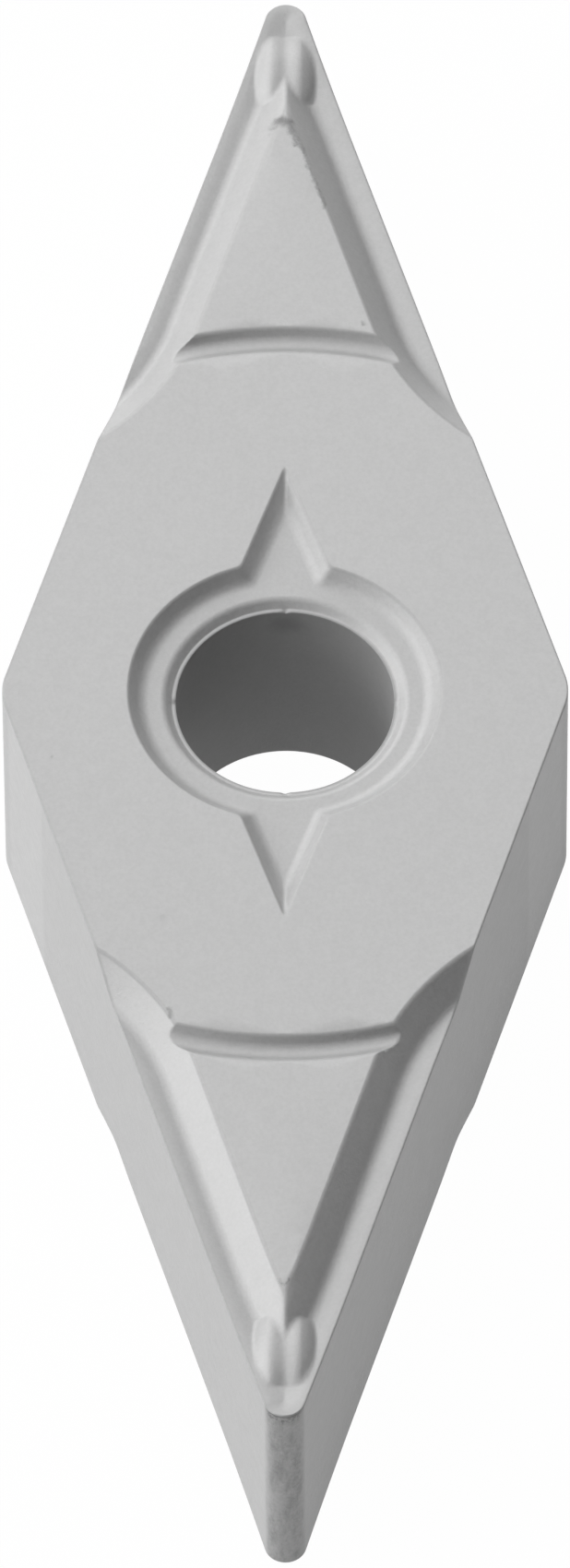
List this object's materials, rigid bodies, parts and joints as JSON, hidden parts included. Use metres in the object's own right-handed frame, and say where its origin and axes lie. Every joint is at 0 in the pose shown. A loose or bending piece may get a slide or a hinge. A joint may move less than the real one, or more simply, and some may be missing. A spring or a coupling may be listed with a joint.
{
  "type": "carbide insert",
  "caption": "Slim rhombic turning insert of sintered carbide, with upright flanks, a moulded chip breaker along its cutting edges and a round bore with dished mouths.",
  "frame": {"origin": "on the bore axis, in the lower seating face", "axes": "+Z along the bore axis, out of the upper face; +Y along the long diagonal, towards a cutting point; +X towards an obtuse corner"},
  "size_m": [0.0098, 0.03, 0.005],
  "materials": {
    "carbide": "satin, as sintered, with ground lands"
  },
  "bodies": {
    "root": {"carbide_insert": "carbide"}
  },
  "joints": []
}
